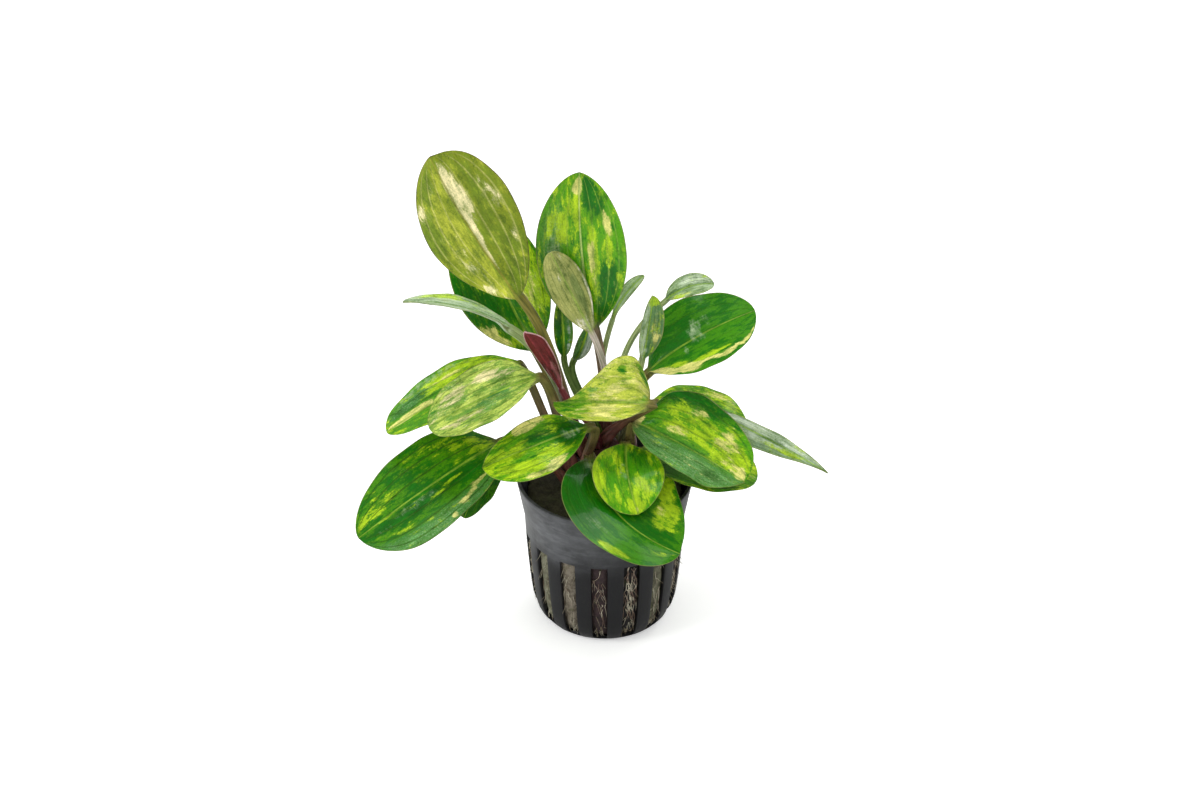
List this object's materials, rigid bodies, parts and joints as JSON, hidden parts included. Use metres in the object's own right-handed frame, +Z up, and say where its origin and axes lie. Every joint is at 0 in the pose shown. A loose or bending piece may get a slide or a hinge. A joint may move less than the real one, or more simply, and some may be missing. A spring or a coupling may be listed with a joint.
{
  "type": "potted aquarium plant",
  "caption": "Small broad-leaved aquarium swordplant with cream and yellow variegated leaves, rooted in a rock wool plug in a black slotted net pot.",
  "frame": {"origin": "centre of the pot's flat base", "axes": "+Z up, -Y towards the side the plant is viewed from, +X to that viewer's right"},
  "size_m": [0.1456, 0.0893, 0.1634],
  "materials": {
    "black_plastic": "satin moulded plastic",
    "rock_wool": "wet, fibrous, dark brown-green",
    "crown_skin": "dull dark red-brown plant skin",
    "sheath_burgundy": "satin burgundy plant skin",
    "leaf_green": "glossy green leaf with cream and yellow speckles",
    "leaf_olive": "satin leaf underside, olive and cream",
    "leaf_beige": "satin leaf underside, beige"
  },
  "bodies": {
    "root": {"net_pot": "black_plastic", "wool_plug": "rock_wool", "crown": "crown_skin", "red_sheath": "sheath_burgundy", "leaf_tall_olive": "leaf_olive", "leaf_tall_glossy": "leaf_green", "leaf_small_beige": "leaf_beige", "leaf_back_left": "leaf_green", "leaf_edge_on": "leaf_green", "leaf_left_outer": "leaf_green", "leaf_left_inner": "leaf_green", "leaf_low_left": "leaf_green", "leaf_under_left": "leaf_green", "leaf_front_left": "leaf_green", "leaf_centre": "leaf_green", "leaf_upper_right": "leaf_green", "leaf_narrow_right": "leaf_green", "leaf_pale_folded": "leaf_green", "leaf_back_thin": "leaf_green", "leaf_right": "leaf_green", "leaf_right_behind": "leaf_green", "leaf_far_right": "leaf_green", "leaf_front_low": "leaf_green", "leaf_front_small": "leaf_green", "leaf_under_right": "leaf_green", "leaf_young_left": "leaf_green", "leaf_young_right": "leaf_green"}
  },
  "joints": []
}
